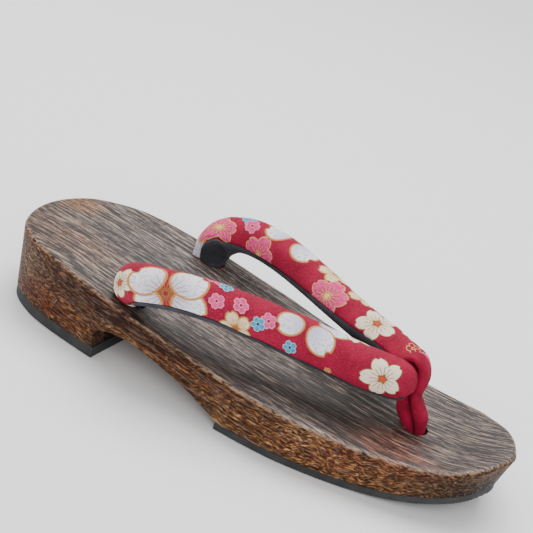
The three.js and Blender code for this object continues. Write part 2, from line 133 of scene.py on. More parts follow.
# One arm of the strap: share of the way from the rear to the front hole, share of the rear hole's
# spread, and shares of the width and thickness
ARM = [
    (-0.016, 0.975, 0.88, 0.6), (-0.016, 0.99, 0.9, 0.68), (-0.012, 1.02, 0.96, 0.8), (0.006, 1.095, 1, 0.93),
    (0.051, 1.175, 1, 1), (0.115, 1.203, 1, 1), (0.189, 1.165, 1, 1), (0.31, 1.002, 1, 1),
    (0.431, 0.804, 1, 1), (0.55, 0.62, 1, 1), (0.673, 0.459, 1, 1), (0.79, 0.33, 1, 1),
    (0.886, 0.205, 0.97, 0.97), (0.924, 0.17, 0.84, 0.86), (0.948, 0.155, 0.62, 0.66),
    (0.962, 0.15, 0.3, 0.32),
]

# Share of the rise, roll outward in degrees and share of the belly at the same places. The foot of the
# outer arm (-1) and of the inner arm (1) were each drawn into the hole with their own twist and their own
# share of the padding. From there to the nose both arms are alike.
FEET = {
    -1: [(-0.06, 26, 1.5), (0.1, 26, 1.7), (0.26, 26, 2.1), (0.39, 24, 2.3), (0.54, 17, 1.7), (0.67, 7, 1.2),
         (0.79, 1, 1)],
    1: [(-0.06, 52, 0.3), (0.12, 52, 0.6), (0.3, 46, 1.5), (0.45, 34, 2.2), (0.595, 19, 1.7), (0.715, 7, 1.2),
        (0.81, 1, 1)],
}
FOOT_TO_NOSE = [
    (0.9, 4, 1), (0.92, 13, 1), (0.905, 21, 1), (0.873, 30, 1), (0.86, 38, 1), (0.86, 36, 1), (0.86, 32, 1),
    (0.858, 29, 0.8), (0.856, 27, 0.5),
]

# Where the print starts at each foot, in millimetres along the cloth
PRINT_START = {-1: 2.0, 1: 1.2}

# The underside's corners are squarer at a foot than along the arm, where the section is an ellipse
FOOT_CORNERS = 0.5

# Width of the bare cloth beside the lining at each foot, in millimetres: below nought it is on the
# outer edge. It narrows to nothing at a height over the tread.
FOOT_BARE = {-1: -7.0, 1: 3.2}
FOOT_BARE_HEIGHT = 15.0

# The thong's loop round the nose: how far behind the front hole as a share of the strap's thickness,
# how high over the tread as a share of the strap's rise, and the band's half width and half
# thickness there in millimetres
THONG_LOOP = [
    (0.12, -0.57, 2.4, 1.7),
    (0.08, -0.25, 2.6, 1.8),
    (0.48, 0.08, 3.2, 2.7),
    (0.76, 0.27, 3.5, 3.0),
    (0.88, 0.46, 3.5, 2.7),
    (1.12, 0.64, 3.5, 2.1),
    (1.4, 0.82, 3.5, 1.4),
    (1.47, 1.0, 3.4, 1.2),
    (1.28, 1.22, 3.6, 1.3),
    (0.86, 1.32, 3.8, 1.6),
    (0.5, 1.2, 3.8, 2.0),
    (0.38, 1.02, 3.8, 2.2),
    (0.4, 0.81, 3.7, 2.1),
    (0.44, 0.63, 3.4, 1.9),
    (0.27, 0.44, 3.5, 2.5),
    (0.0, 0.25, 3.5, 2.6),
    (-0.12, 0.05, 3.2, 2.1),
    (-0.14, -0.25, 2.6, 1.7),
    (-0.1, -0.57, 2.4, 1.7),
]

# Creases of an arm's cloth, as soft troughs: millimetres along the arm and round it from the crest,
# turn in degrees, half length, half width and depth in millimetres
CREASES = [
    (12, 4, 70, 9, 1.6, 0.5),
    (17, -6, 60, 8, 1.5, 0.45),
    (23, 5, 75, 7, 1.8, 0.35),
    (124, 3, 78, 8, 1.4, 0.4),
    (129, -4, 85, 7, 1.2, 0.45),
    (117, -8, 65, 6, 1.5, 0.3),
    (70, -10, 20, 16, 2.0, 0.25),
]


# Reading the tables

def read_table(rows, place, column):
    """A column of a table at a place, on a curve that never overshoots its rows."""
    last = len(rows) - 1
    at = min(max(place, rows[0][0]), rows[last][0])
    row = 0
    while row < last - 1 and rows[row + 1][0] < at:
        row += 1

    def slope(i):
        return (rows[i + 1][column] - rows[i][column]) / (rows[i + 1][0] - rows[i][0])

    def tangent(i):
        if i == 0:
            return slope(0)
        if i == last:
            return slope(last - 1)
        before, after = slope(i - 1), slope(i)
        return 0.0 if before * after <= 0 else 2 * before * after / (before + after)

    span = rows[row + 1][0] - rows[row][0]
    t = (at - rows[row][0]) / span
    start = rows[row][column] * (1 + 2 * t) * (1 - t) ** 2
    end = rows[row + 1][column] * t * t * (3 - 2 * t)
    bend = tangent(row) * t * (1 - t) ** 2 - tangent(row + 1) * t * t * (1 - t)
    return start + end + bend * span


def smooth_path(points, share):
    """Place and direction at a share of a smooth curve through given points."""
    count = len(points)
    at = share * (count - 1)
    i = min(int(at), count - 2)
    w = at - i
    p1, p2 = points[i], points[i + 1]
    p0 = points[i - 1] if i > 0 else p1 * 2 - p2
    p3 = points[i + 2] if i + 2 < count else p2 * 2 - p1
    gaps = [max((b - a).length, 1e-6) ** 0.5 for a, b in ((p0, p1), (p1, p2), (p2, p3))]
    lead = ((p1 - p0) / gaps[0] - (p2 - p0) / (gaps[0] + gaps[1]) + (p2 - p1) / gaps[1]) * gaps[1]
    tail = ((p2 - p1) / gaps[1] - (p3 - p1) / (gaps[1] + gaps[2]) + (p3 - p2) / gaps[2]) * gaps[1]
    a = p1 * 2 - p2 * 2 + lead + tail
    b = p2 * 3 - p1 * 3 - lead * 2 - tail
    place = a * w ** 3 + b * w ** 2 + lead * w + p1
    direction = a * (3 * w * w) + b * (2 * w) + lead
    return place, direction.normalized()


def tread_at(x):
    share = x / LENGTH
    drop = (HEEL_HEIGHT - BALL_HEIGHT) * read_table(TREAD, share, 1)
    return BALL_HEIGHT + drop + TOE_RISE * read_table(TREAD, share, 2)


def spring_at(x):
    share = max(0.0, (x / LENGTH - SPRING_START) / (1 - SPRING_START))
    return share * share


def sole_at(x):
    back = max(0.0, 1 - x / HEEL_BEVEL_LENGTH)
    return HEEL_BEVEL * back * back + TOE_SPRING * spring_at(x)


def wood_foot_at(x):
    rubber = HEEL_RUBBER_THICKNESS if x < HEEL_BLOCK_LENGTH + ARCH_LENGTH / 2 else RUBBER_THICKNESS
    return rubber + SEAM + TOE_SPRING * spring_at(x)


def arch_roof_at(x):
    return ARCH_HEIGHT * read_table(ARCH_ROOF, (x - HEEL_BLOCK_LENGTH) / ARCH_LENGTH, 1)


OUTLINE_BY_ANGLE = [(math.acos(1 - 2 * along), outer, inner) for along, outer, inner in OUTLINE]


def rim_point(angle, side, inset):
    """A point of the rim at an angle from the heel (0) to the toe (pi), moved in by an inset."""
    column = 1 if side < 0 else 2

    def half(at):
        return side * HALF_WIDTH * read_table(OUTLINE_BY_ANGLE, at, column)

    def along(at):
        return LENGTH * (1 - math.cos(at)) / 2

    step = 1e-3
    before, after = max(0.0, angle - step), min(math.pi, angle + step)
    tangent = Vector((along(after) - along(before), half(after) - half(before))).normalized()
    normal = Vector((-side * tangent.y, side * tangent.x))
    if angle < step:
        normal = Vector((-1, 0))
    if angle > math.pi - step:
        normal = Vector((1, 0))
    return Vector((along(angle), half(angle))) - normal * inset


def foot_inset(angle):
    return WALL_INSET * read_table(WALL_FOOT, (1 - math.cos(angle)) / 2, 1)


# Mesh making

def mesh_object(name, corners, faces):
    """A mesh in the scene, from corners in the frame's metres."""
    mesh = bpy.data.meshes.new(name)
    mesh.from_pydata(corners, [], faces)
    made = bpy.data.objects.new(name, mesh)
    bpy.context.collection.objects.link(made)
    return made


def body_of(name, rings):
    """A closed body from rings in shoe millimetres: quads from ring to ring and a cap at each end."""
    count = len(rings[0])
    corners = [in_frame(point) for ring in rings for point in ring]
    faces = []
    for low in range(0, len(corners) - count, count):
        high = low + count
        for k in range(count):
            n = (k + 1) % count
            faces.append((low + k, high + k, high + n, low + n))
    faces.append(tuple(range(count)))
    faces.append(tuple(range(len(corners) - count, len(corners))))
    return mesh_object(name, corners, faces)


def finish_piece(piece, material, smooth_angle):
    """Closes a piece's seams, smooths it where its faces meet softly, and sets its finish on the sandal."""
    mesh = piece.data
    tidy = bmesh.new()
    tidy.from_mesh(mesh)
    bmesh.ops.remove_doubles(tidy, verts=tidy.verts, dist=1e-7)
    bmesh.ops.recalc_face_normals(tidy, faces=tidy.faces)
    for face in tidy.faces:
        face.smooth = True
    tidy.to_mesh(mesh)
    tidy.free()
    mesh.set_sharp_from_angle(angle=math.radians(smooth_angle))
    mesh.materials.clear()
    mesh.materials.append(material)
    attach(piece, "root")


def piece_of(name, rings, material, smooth_angle):
    piece = body_of(name, rings)
    finish_piece(piece, material, smooth_angle)
    return piece


def turns_round(sides, first=0.0):
    """Even turns round a section, in radians."""
    return [first + 2 * math.pi * k / sides for k in range(sides)]


def cutter_of(rings):
    """A form to cut with, its faces turned outward."""
    cutter = body_of("cutter", rings)
    tidy = bmesh.new()
    tidy.from_mesh(cutter.data)
    bmesh.ops.recalc_face_normals(tidy, faces=tidy.faces)
    tidy.to_mesh(cutter.data)
    tidy.free()
    return cutter


def upright_bar(radius, x, y, bottom, top):
    """A round bar to cut a hole or a recess with."""
    edge = [(x + radius * math.cos(turn), y + radius * math.sin(turn)) for turn in turns_round(40)]
    return cutter_of([[(*spot, z) for spot in edge] for z in (bottom, top)])


def cut_away(piece, cutters):
    """Cuts the cutters' forms out of a piece, then drops them."""
    for cutter in cutters:
        cut = piece.modifiers.new("cut", "BOOLEAN")
        cut.operation = "DIFFERENCE"
        cut.solver = "EXACT"
        cut.object = cutter
    bpy.context.view_layer.update()
    baked = bpy.data.meshes.new_from_object(piece.evaluated_get(bpy.context.evaluated_depsgraph_get()))
    piece.modifiers.clear()
    piece.data = baked
    for cutter in cutters:
        bpy.data.objects.remove(cutter)


# Colours and nodes

MATH = "ShaderNodeMath"
VECTOR = "ShaderNodeVectorMath"
RANGE = "ShaderNodeMapRange"
MIX = "ShaderNodeMix"
RAMP = "ShaderNodeValToRGB"
NOISE = "ShaderNodeTexNoise"
BUMP = "ShaderNodeBump"
SPLIT = "ShaderNodeSeparateXYZ"
PLACE = "ShaderNodeTexCoord"
SHADER = "ShaderNodeBsdfPrincipled"

# Sockets of a colour mix: its factor, the colour under and the colour over
FACTOR, UNDER, OVER = 0, 6, 7


def linear(code):
    """An sRGB hex colour as linear RGBA."""
    channels = [int(code[i:i + 2], 16) / 255 for i in (1, 3, 5)]
    return [c / 12.92 if c <= 0.04045 else ((c + 0.055) / 1.055) ** 2.4 for c in channels] + [1.0]


def add(tree, kind, links, take=0, stops=(), **settings):
    """Adds one node with its settings, colour stops and links, and hands back the output asked for."""
    made = tree.nodes.new(kind)
    for key, value in settings.items():
        setattr(made, key, value)
    for i, (place, code) in enumerate(stops):
        steps = made.color_ramp.elements
        step = steps[i] if i < 2 else steps.new(place)
        step.position = place
        step.color = linear(code)
    for key, value in links.items():
        if isinstance(value, bpy.types.NodeSocket):
            tree.links.new(value, made.inputs[key])
        else:
            made.inputs[key].default_value = value
    return made.outputs[take] if made.outputs else made


def start_material(name):
    """An empty material and its nodes."""
    material = bpy.data.materials.new(name)
    material.use_nodes = True
    material.node_tree.nodes.clear()
    return material, material.node_tree


def place_in_mm(tree):
    """The place on the sandal in millimetres, from its middle."""
    metres = add(tree, PLACE, {}, "Object")
    return add(tree, VECTOR, {0: metres, "Scale": 1 / MM}, operation="SCALE")


def close_material(tree, looks):
    """Adds the shader with its looks, and the material's output."""
    shader = add(tree, SHADER, looks)
    add(tree, "ShaderNodeOutputMaterial", {"Surface": shader})


# Wood: paulownia, scorched black, brushed along the grain and waxed. The brush digs out the soft
# early wood, so fine pale lines stand over dark grooves, with a satin shine on the ridges.

# Clouds of scorching, of bare wood and of painted shade: centre and half sizes in shoe millimetres,
# and the tint that each lays over the grain. A tint of #bcbcbc would leave the wood as it is.
WOOD_CLOUDS_AND_SHADE = [
    ((20, -20, 36), (42, 20, 7), "#c8ad98"),
    ((8, 14, 36), (14, 13, 6), "#d8b07c"),
    ((75, 8, 31), (50, 18, 8), "#92929a"),
    # These two dark clouds on the tread beside the outer arm are partly dark scorching and partly the strap's
    # painted shadow
    ((118, -33, 27), (60, 13, 7), "#706b74"),
    ((163, -19, 22), (32, 18, 6), "#5c514c"),
    ((150, 20, 24), (50, 16, 7), "#a3a2a5"),
    ((197, -24, 21.5), (26, 15, 6), "#ba7b5d"),
    ((203, -7, 21.5), (11, 8, 5), "#80543c"),
    ((30, -40, 12), (42, 18, 10), "#b47e3e"),
    # Painted shade along the top of the outer wall, under the rim
    ((50, -43, 28), (60, 12, 8), "#7c604c"),
    ((110, -43, 20), (38, 12, 8), "#a88f78"),
    ((185, -40, 12), (52, 16, 9), "#dccbc0"),
    ((215, 5, 24), (36, 40, 8), "#aca4a1"),
    ((240, -10, 12), (30, 60, 14), "#4c4748"),
    # Painted shade at the front of the heel block, under the arch
    ((65, 0, 8), (6, 60, 16), "#46403e"),
    ((0, 0, 16), (14, 60, 22), "#93673f"),
]


# What the brush leaves: length along the grain, width on the tread and height on the walls in
# millimetres, and how fine its detail is. The real grooves are finer; narrower ones than these would
# blur away in the picture.
BRUSH_MARKS = {
    "bands": (110, 8.0, 6.0, 2.0),
    "grooves": (40, 1.0, 1.0, 3.0),
    "hairs": (12.0, 0.75, 0.7, 1.0),
    "pores": (6.0, 0.8, 0.8, 1.0),
    "grit": (1.6, 0.9, 0.9, 1.0),
}


def brushed_layers(tree, level):
    """The brush's marks along the grain, which wanders by 2 mm in 60 mm."""
    slow = add(tree, VECTOR, {0: level, 1: (0.016, 0.03, 0.03)}, operation="MULTIPLY")
    sway = add(tree, NOISE, {"Vector": slow, "Scale": 1.0, "Detail": 1.0}, "Color")
    bent = add(tree, VECTOR, {0: sway, 1: (0.0, 5.0, 5.0), 2: level}, operation="MULTIPLY_ADD")
    layers = {}
    for name, (along, across, high, detail) in BRUSH_MARKS.items():
        finer = {0: bent, 1: (1 / along, 1 / across, 1 / high), 2: (along, across, high)}
        fine = add(tree, VECTOR, finer, operation="MULTIPLY_ADD")
        layers[name] = add(tree, NOISE, {"Vector": fine, "Scale": 1.0, "Detail": detail, "Roughness": 0.6})
    return layers


def brushed_tread(tree, layers, hairs):
    """The tread's colour: scorched grooves, pale lines of late wood and dark pores."""
    depth = add(tree, MATH, {0: layers["bands"], 1: 0.4, 2: 0.1}, operation="MULTIPLY_ADD")
    depth = add(tree, MATH, {0: layers["grooves"], 1: depth}, operation="ADD")
    depth = add(tree, MATH, {0: layers["grit"], 1: 0.4, 2: depth}, operation="MULTIPLY_ADD")
    ridge = add(tree, RANGE, {"Value": depth, "From Min": 0.82, "From Max": 1.18})
    colour = add(tree, RAMP, {"Fac": ridge}, stops=[
        (0.0, "#070403"), (0.3, "#1d1410"), (0.5, "#372923"), (0.7, "#594841"), (1.0, "#958479")])
    colour = add(tree, MIX, {FACTOR: hairs, UNDER: colour, OVER: linear("#ad9a8c")}, 2, data_type="RGBA")
    pores = add(tree, RANGE, {"Value": layers["pores"], "From Min": 0.45, "From Max": 0.37})
    return add(tree, MIX, {FACTOR: pores, UNDER: colour, OVER: linear("#1b1411")}, 2, data_type="RGBA")


def curly_walls(tree, place, grooves):
    """The walls' brown wood and its curly flecks, about 2.4 mm long and 0.6 mm high, that drift."""
    curl = add(tree, NOISE, {"Vector": place, "Scale": 0.09, "Detail": 2.0}, "Color")
    drift = add(tree, VECTOR, {0: curl, 1: (14.0, 0.0, 9.0), 2: place}, operation="MULTIPLY_ADD")
    drift = add(tree, VECTOR, {0: drift, 1: (0.42, 0.42, 1.7)}, operation="MULTIPLY")
    flecks = add(tree, NOISE, {"Vector": drift, "Scale": 1.0, "Detail": 3.0, "Roughness": 0.6})
    streak = add(tree, MATH, {0: grooves, 1: 0.5, 2: flecks}, operation="MULTIPLY_ADD")
    streak = add(tree, RANGE, {"Value": streak, "From Min": 0.55, "From Max": 0.95})
    colour = add(tree, RAMP, {"Fac": streak}, stops=[
        (0.0, "#140b06"), (0.35, "#321d10"), (0.6, "#52331c"), (0.8, "#7d5a36"), (1.0, "#a5825a")])
    return colour, flecks


def clouds_and_painted_shade(tree, colour, place, layers):
    """Lays the clouds of scorching, of bare wood and of painted shade over the wood, their edges broken up
    along the grain.
    """
    ragged = add(tree, MATH, {0: layers["bands"], 1: layers["grooves"]}, operation="ADD")
    for centre, half, code in WOOD_CLOUDS_AND_SHADE:
        middle = (centre[0] - HALF_LENGTH, centre[1], centre[2])
        away = add(tree, VECTOR, {0: place, 1: middle}, operation="SUBTRACT")
        away = add(tree, VECTOR, {0: away, 1: tuple(1 / h for h in half)}, operation="MULTIPLY")
        far = add(tree, VECTOR, {0: away}, "Value", operation="LENGTH")
        far = add(tree, MATH, {0: far, 1: ragged}, operation="SUBTRACT")
        cover = add(tree, RANGE, {"Value": far, "From Min": 0.15, "From Max": -0.65})
        tint = tuple(2 * channel for channel in linear(code)[:3])
        stain_and_shade = add(tree, VECTOR, {0: colour, 1: tint}, operation="MULTIPLY")
        colour = add(tree, MIX, {FACTOR: cover, UNDER: colour, OVER: stain_and_shade}, 2, data_type="RGBA")
    return colour


def worn_rim(tree, place, inset, drop):
    """Where the rim is rubbed bare: a thin broken line that follows the edge of the tread."""
    outside = add(tree, RANGE, {"Value": inset, "From Min": 1.5, "From Max": 0.6})
    upper = add(tree, RANGE, {"Value": drop, "From Min": 1.9, "From Max": 0.9})
    worn = add(tree, MATH, {0: outside, 1: upper}, operation="MULTIPLY")
    chips = add(tree, VECTOR, {0: place, 1: (0.35, 0.8, 0.8)}, operation="MULTIPLY")
    chips = add(tree, NOISE, {"Vector": chips, "Scale": 1.0, "Detail": 3.0})
    chips = add(tree, RANGE, {"Value": chips, "From Min": 0.42, "From Max": 0.62})
    worn = add(tree, MATH, {0: worn, 1: chips}, operation="MULTIPLY")
    return add(tree, MATH, {0: worn, 1: 0.6}, operation="MULTIPLY")


def scorched_wood():
    material, tree = start_material("scorched_paulownia")
    place = place_in_mm(tree)
    facing = add(tree, SPLIT, {0: add(tree, "ShaderNodeNewGeometry", {}, "Normal")}, "Z")
    topside = add(tree, RANGE, {"Value": facing, "From Min": 0.5, "From Max": 0.85})

    # The grain follows the tread, so its height counts down from there
    edge = add(tree, "ShaderNodeAttribute", {}, "Vector", attribute_name="rim")
    inset = add(tree, SPLIT, {0: edge}, "X")
    drop = add(tree, SPLIT, {0: edge}, "Y")
    flat = add(tree, VECTOR, {0: place, 1: (1.0, 1.0, 0.0)}, operation="MULTIPLY")
    below = add(tree, "ShaderNodeCombineXYZ", {"Z": drop})
    level = add(tree, VECTOR, {0: flat, 1: below}, operation="SUBTRACT")
    layers = brushed_layers(tree, level)
    hairs = add(tree, RANGE, {"Value": layers["hairs"], "From Min": 0.54, "From Max": 0.66, "To Max": 0.9})

    tread = brushed_tread(tree, layers, hairs)
    wall, flecks = curly_walls(tree, place, layers["grooves"])
    colour = add(tree, MIX, {FACTOR: topside, UNDER: wall, OVER: tread}, 2, data_type="RGBA")
    # Scorching, bare wood and painted shade beside the strap, under the rim and under the arch
    colour = clouds_and_painted_shade(tree, colour, place, layers)
    pale = add(tree, MATH, {0: hairs, 1: 0.35}, operation="MULTIPLY")
    colour = add(tree, MIX, {FACTOR: pale, UNDER: colour, OVER: linear("#8f7a6c")}, 2, data_type="RGBA")
    worn = worn_rim(tree, place, inset, drop)
    colour = add(tree, MIX, {FACTOR: worn, UNDER: colour, OVER: linear("#b08e72")}, 2, data_type="RGBA")

    shine = add(tree, RANGE, {"Value": layers["grooves"], "From Min": 0.3, "From Max": 0.7,
                              "To Min": 0.62, "To Max": 0.38})
    relief = add(tree, MATH, {0: layers["bands"], 1: 1.5, 2: layers["grooves"]}, operation="MULTIPLY_ADD")
    relief = add(tree, MATH, {0: flecks, 1: 0.4, 2: relief}, operation="MULTIPLY_ADD")
    bump = add(tree, BUMP, {"Height": relief, "Strength": 0.8, "Distance": 0.0007})

    # Only the tread is waxed. The walls stay dry and give back little light.
    wax = add(tree, MATH, {0: topside, 1: 0.2}, operation="MULTIPLY")
    gloss = add(tree, MATH, {0: topside, 1: 0.38, 2: 0.12}, operation="MULTIPLY_ADD")
    close_material(tree, {"Base Color": colour, "Roughness": shine, "Normal": bump,
                          "Specular IOR Level": gloss, "Coat Weight": wax, "Coat Roughness": 0.3})
    return material


# Rubber: black nitrile sheet, moulded with fine ribs, dull and a little dusty

def moulded_rubber():
    material, tree = start_material("moulded_rubber")
    place = place_in_mm(tree)
    dust = add(tree, NOISE, {"Vector": place, "Scale": 0.16, "Detail": 4.0})
    grit = add(tree, NOISE, {"Vector": place, "Scale": 1.8, "Detail": 2.0})
    colour = add(tree, RAMP, {"Fac": dust}, stops=[(0.35, "#232425"), (0.65, "#313233")])
    bump = add(tree, BUMP, {"Height": grit, "Strength": 0.35, "Distance": 0.0003})
    close_material(tree, {"Base Color": colour, "Roughness": 0.72, "Normal": bump, "IOR": 1.52})
    return material


# Velvet: black cotton pile, which drinks the light and glows only at its edges

def black_velvet():
    material, tree = start_material("black_velvet")
    place = place_in_mm(tree)
    pile = add(tree, NOISE, {"Vector": place, "Scale": 1.5, "Detail": 3.0})
    crush = add(tree, NOISE, {"Vector": place, "Scale": 0.13, "Detail": 3.0})
    colour = add(tree, RAMP, {"Fac": crush}, stops=[(0.4, "#2b2b31"), (0.65, "#3c3c44")])
    bump = add(tree, BUMP, {"Height": pile, "Strength": 0.5, "Distance": 0.0004})
    close_material(tree, {"Base Color": colour, "Roughness": 0.95, "Normal": bump,
                          "Sheen Weight": 0.25, "Sheen Roughness": 0.4, "Sheen Tint": linear("#5a5d68")})
    return material


# Crepe cotton for the thong: matt crimson with a fine pebbled weave

def crimson_crepe():
    material, tree = start_material("crimson_crepe")
    place = place_in_mm(tree)
    pebble = add(tree, NOISE, {"Vector": place, "Scale": 1.4, "Detail": 3.0})
    shade = add(tree, NOISE, {"Vector": place, "Scale": 0.22, "Detail": 3.0})
    colour = add(tree, RAMP, {"Fac": shade}, stops=[(0.3, "#780424"), (0.7, "#9a0a34")])
    bump = add(tree, BUMP, {"Height": pebble, "Strength": 0.7, "Distance": 0.0005})
    close_material(tree, {"Base Color": colour, "Roughness": 0.85, "Normal": bump,
                          "Specular IOR Level": 0.25,
                          "Sheen Weight": 0.05, "Sheen Roughness": 0.5, "Sheen Tint": linear("#ff8fa0")})
    return material


# Hemp cord for the hidden knots: dry pale fibres

def hemp_cord():
    material, tree = start_material("hemp_cord")
    place = place_in_mm(tree)
    lay = add(tree, VECTOR, {0: place, 1: (0.9, 0.9, 0.3)}, operation="MULTIPLY")
    fibre = add(tree, NOISE, {"Vector": lay, "Scale": 1.0, "Detail": 4.0})
    colour = add(tree, RAMP, {"Fac": fibre}, stops=[(0.3, "#8a7852"), (0.7, "#c2b184")])
    bump = add(tree, BUMP, {"Height": fibre, "Strength": 0.8, "Distance": 0.0005})
    close_material(tree, {"Base Color": colour, "Roughness": 0.9, "Normal": bump})
    return material


# Printed cotton: a crimson plain weave with cherry blossoms laid on by hand.
# The mesh carries a map called cloth: millimetres along the arm and round it from its crest.

BLOSSOM_INPUTS = {
    "NodeSocketVector": ["Cloth", "Middle"],
    "NodeSocketColor": ["Under", "Petal", "Blush", "Gilt", "Heart"],
    "NodeSocketFloat": ["Radius", "Turn", "Petals", "Width", "Outline", "Stamens", "Heart Size", "Cover"],
}

# A petal's middle and half length, as shares of the blossom's radius
PETAL_MIDDLE = 0.57
PETAL_HALF_LENGTH = 0.43


def petal_places(tree, given):
    """A point's reach from the middle, its turn counted in petals, and its way out along its own petal
    and to the side of it. The reach and both ways are shares of the radius."""
    away = add(tree, VECTOR, {0: given["Cloth"], 1: given["Middle"]}, operation="SUBTRACT")
    reach = add(tree, VECTOR, {0: away}, "Value", operation="LENGTH")
    reach = add(tree, MATH, {0: reach, 1: given["Radius"]}, operation="DIVIDE")
    along = add(tree, SPLIT, {0: away}, "X")
    around = add(tree, SPLIT, {0: away}, "Y")
    angle = add(tree, MATH, {0: around, 1: along}, operation="ARCTAN2")
    angle = add(tree, MATH, {0: angle, 1: given["Turn"]}, operation="SUBTRACT")
    turns = add(tree, MATH, {0: angle, 1: given["Petals"]}, operation="MULTIPLY")
    turns = add(tree, MATH, {0: turns, 1: 1 / (2 * math.pi), 2: 0.5}, operation="MULTIPLY_ADD")
    fold = add(tree, MATH, {0: turns}, operation="FRACT")
    fold = add(tree, MATH, {0: fold, 1: 0.5}, operation="SUBTRACT")
    fold = add(tree, MATH, {0: fold, 1: 2 * math.pi}, operation="MULTIPLY")
    fold = add(tree, MATH, {0: fold, 1: given["Petals"]}, operation="DIVIDE")
    out = add(tree, MATH, {0: fold}, operation="COSINE")
    out = add(tree, MATH, {0: reach, 1: out}, operation="MULTIPLY")
    side = add(tree, MATH, {0: fold}, operation="SINE")
    side = add(tree, MATH, {0: reach, 1: side}, operation="MULTIPLY")
    side = add(tree, MATH, {0: side}, operation="ABSOLUTE")
    return reach, turns, out, side


def petal_and_outline(tree, given, out, side):
    """The inside of a petal and its outline, from a field that is 0 at its middle and 1 at its edge."""
    lead = {0: out, 1: 1 / PETAL_HALF_LENGTH, 2: -PETAL_MIDDLE / PETAL_HALF_LENGTH}
    long = add(tree, MATH, lead, operation="MULTIPLY_ADD")
    long = add(tree, MATH, {0: long, 1: long}, operation="MULTIPLY")
    wide = add(tree, MATH, {0: side, 1: given["Width"]}, operation="DIVIDE")
    wide = add(tree, MATH, {0: wide, 1: wide}, operation="MULTIPLY")
    field = add(tree, MATH, {0: long, 1: wide}, operation="ADD")
    field = add(tree, MATH, {0: field}, operation="SQRT")

    # A small wedge at the tip makes the notch
    centred = add(tree, RANGE, {"Value": side, "From Min": 0.1, "From Max": 0.0})
    tip = add(tree, RANGE, {"Value": out, "From Min": 0.78, "From Max": 1.0, "To Max": 0.4})
    wedge = add(tree, MATH, {0: centred, 1: tip}, operation="MULTIPLY")
    field = add(tree, MATH, {0: field, 1: wedge}, operation="ADD")
    inside = add(tree, RANGE, {"Value": field, "From Min": 1.03, "From Max": 0.97})

    # The outline keeps its width in millimetres whatever the blossom's size
    rim = add(tree, MATH, {0: given["Outline"], 1: given["Radius"]}, operation="DIVIDE")
    rim = add(tree, MATH, {0: rim, 1: -1 / PETAL_HALF_LENGTH, 2: 1.0}, operation="MULTIPLY_ADD")
    line = add(tree, MATH, {0: field, 1: rim}, operation="SUBTRACT")
    line = add(tree, MATH, {0: line, 1: 25.0}, operation="MULTIPLY", use_clamp=True)
    return inside, line


def stamen_threads(tree, given, reach, turns):
    """Three threads to a petal, the same width in millimetres all along."""
    off = add(tree, MATH, {0: turns, 1: 3.0}, operation="MULTIPLY")
    off = add(tree, MATH, {0: off}, operation="FRACT")
    off = add(tree, MATH, {0: off, 1: 0.5}, operation="SUBTRACT")
    off = add(tree, MATH, {0: off}, operation="ABSOLUTE")
    off = add(tree, MATH, {0: off, 1: reach}, operation="MULTIPLY")
    off = add(tree, MATH, {0: off, 1: given["Radius"]}, operation="MULTIPLY")
    thin = add(tree, RANGE, {"Value": off, "From Min": 0.6, "From Max": 0.3})
    short = add(tree, RANGE, {"Value": reach, "From Min": 0.6, "From Max": 0.5})
    thread = add(tree, MATH, {0: thin, 1: short}, operation="MULTIPLY")
    return add(tree, MATH, {0: thread, 1: given["Stamens"]}, operation="MULTIPLY")


def blossom_group():
    """One printed blossom: round notched petals in a gilt outline, a heart and its stamens."""
    tree = bpy.data.node_groups.new("printed_blossom", "ShaderNodeTree")
    for kind, names in BLOSSOM_INPUTS.items():
        for name in names:
            tree.interface.new_socket(name=name, in_out="INPUT", socket_type=kind)
    tree.interface.new_socket(name="Colour", in_out="OUTPUT", socket_type="NodeSocketColor")
    given = tree.nodes.new("NodeGroupInput").outputs
    reach, turns, out, side = petal_places(tree, given)
    inside, line = petal_and_outline(tree, given, out, side)
    thread = stamen_threads(tree, given, reach, turns)

    # The dye blushes towards the heart and in spots a little over a millimetre across
    spread = add(tree, RANGE, {"Value": reach, "From Min": 0.8, "From Max": 0.12, "To Max": 0.85})
    mottle = add(tree, NOISE, {"Vector": given["Cloth"], "Scale": 0.8, "Detail": 2.0})
    spots = add(tree, RANGE, {"Value": mottle, "From Min": 0.48, "From Max": 0.62, "To Max": 0.6})
    blush = add(tree, MATH, {0: spread, 1: spots}, operation="MAXIMUM")
    body = add(tree, MIX, {FACTOR: blush, UNDER: given["Petal"], OVER: given["Blush"]}, 2, data_type="RGBA")
    body = add(tree, MIX, {FACTOR: line, UNDER: body, OVER: given["Gilt"]}, 2, data_type="RGBA")

    printed = add(tree, MATH, {0: given["Cover"], 1: line}, operation="MAXIMUM")
    printed = add(tree, MATH, {0: inside, 1: printed}, operation="MULTIPLY")
    heart = add(tree, MATH, {0: reach, 1: given["Heart Size"]}, operation="LESS_THAN")
    colour = given["Under"]
    for cover, dye in ((printed, body), (thread, given["Gilt"]), (heart, given["Heart"])):
        colour = add(tree, MIX, {FACTOR: cover, UNDER: colour, OVER: dye}, 2, data_type="RGBA")
    add(tree, "NodeGroupOutput", {"Colour": colour})
    return tree


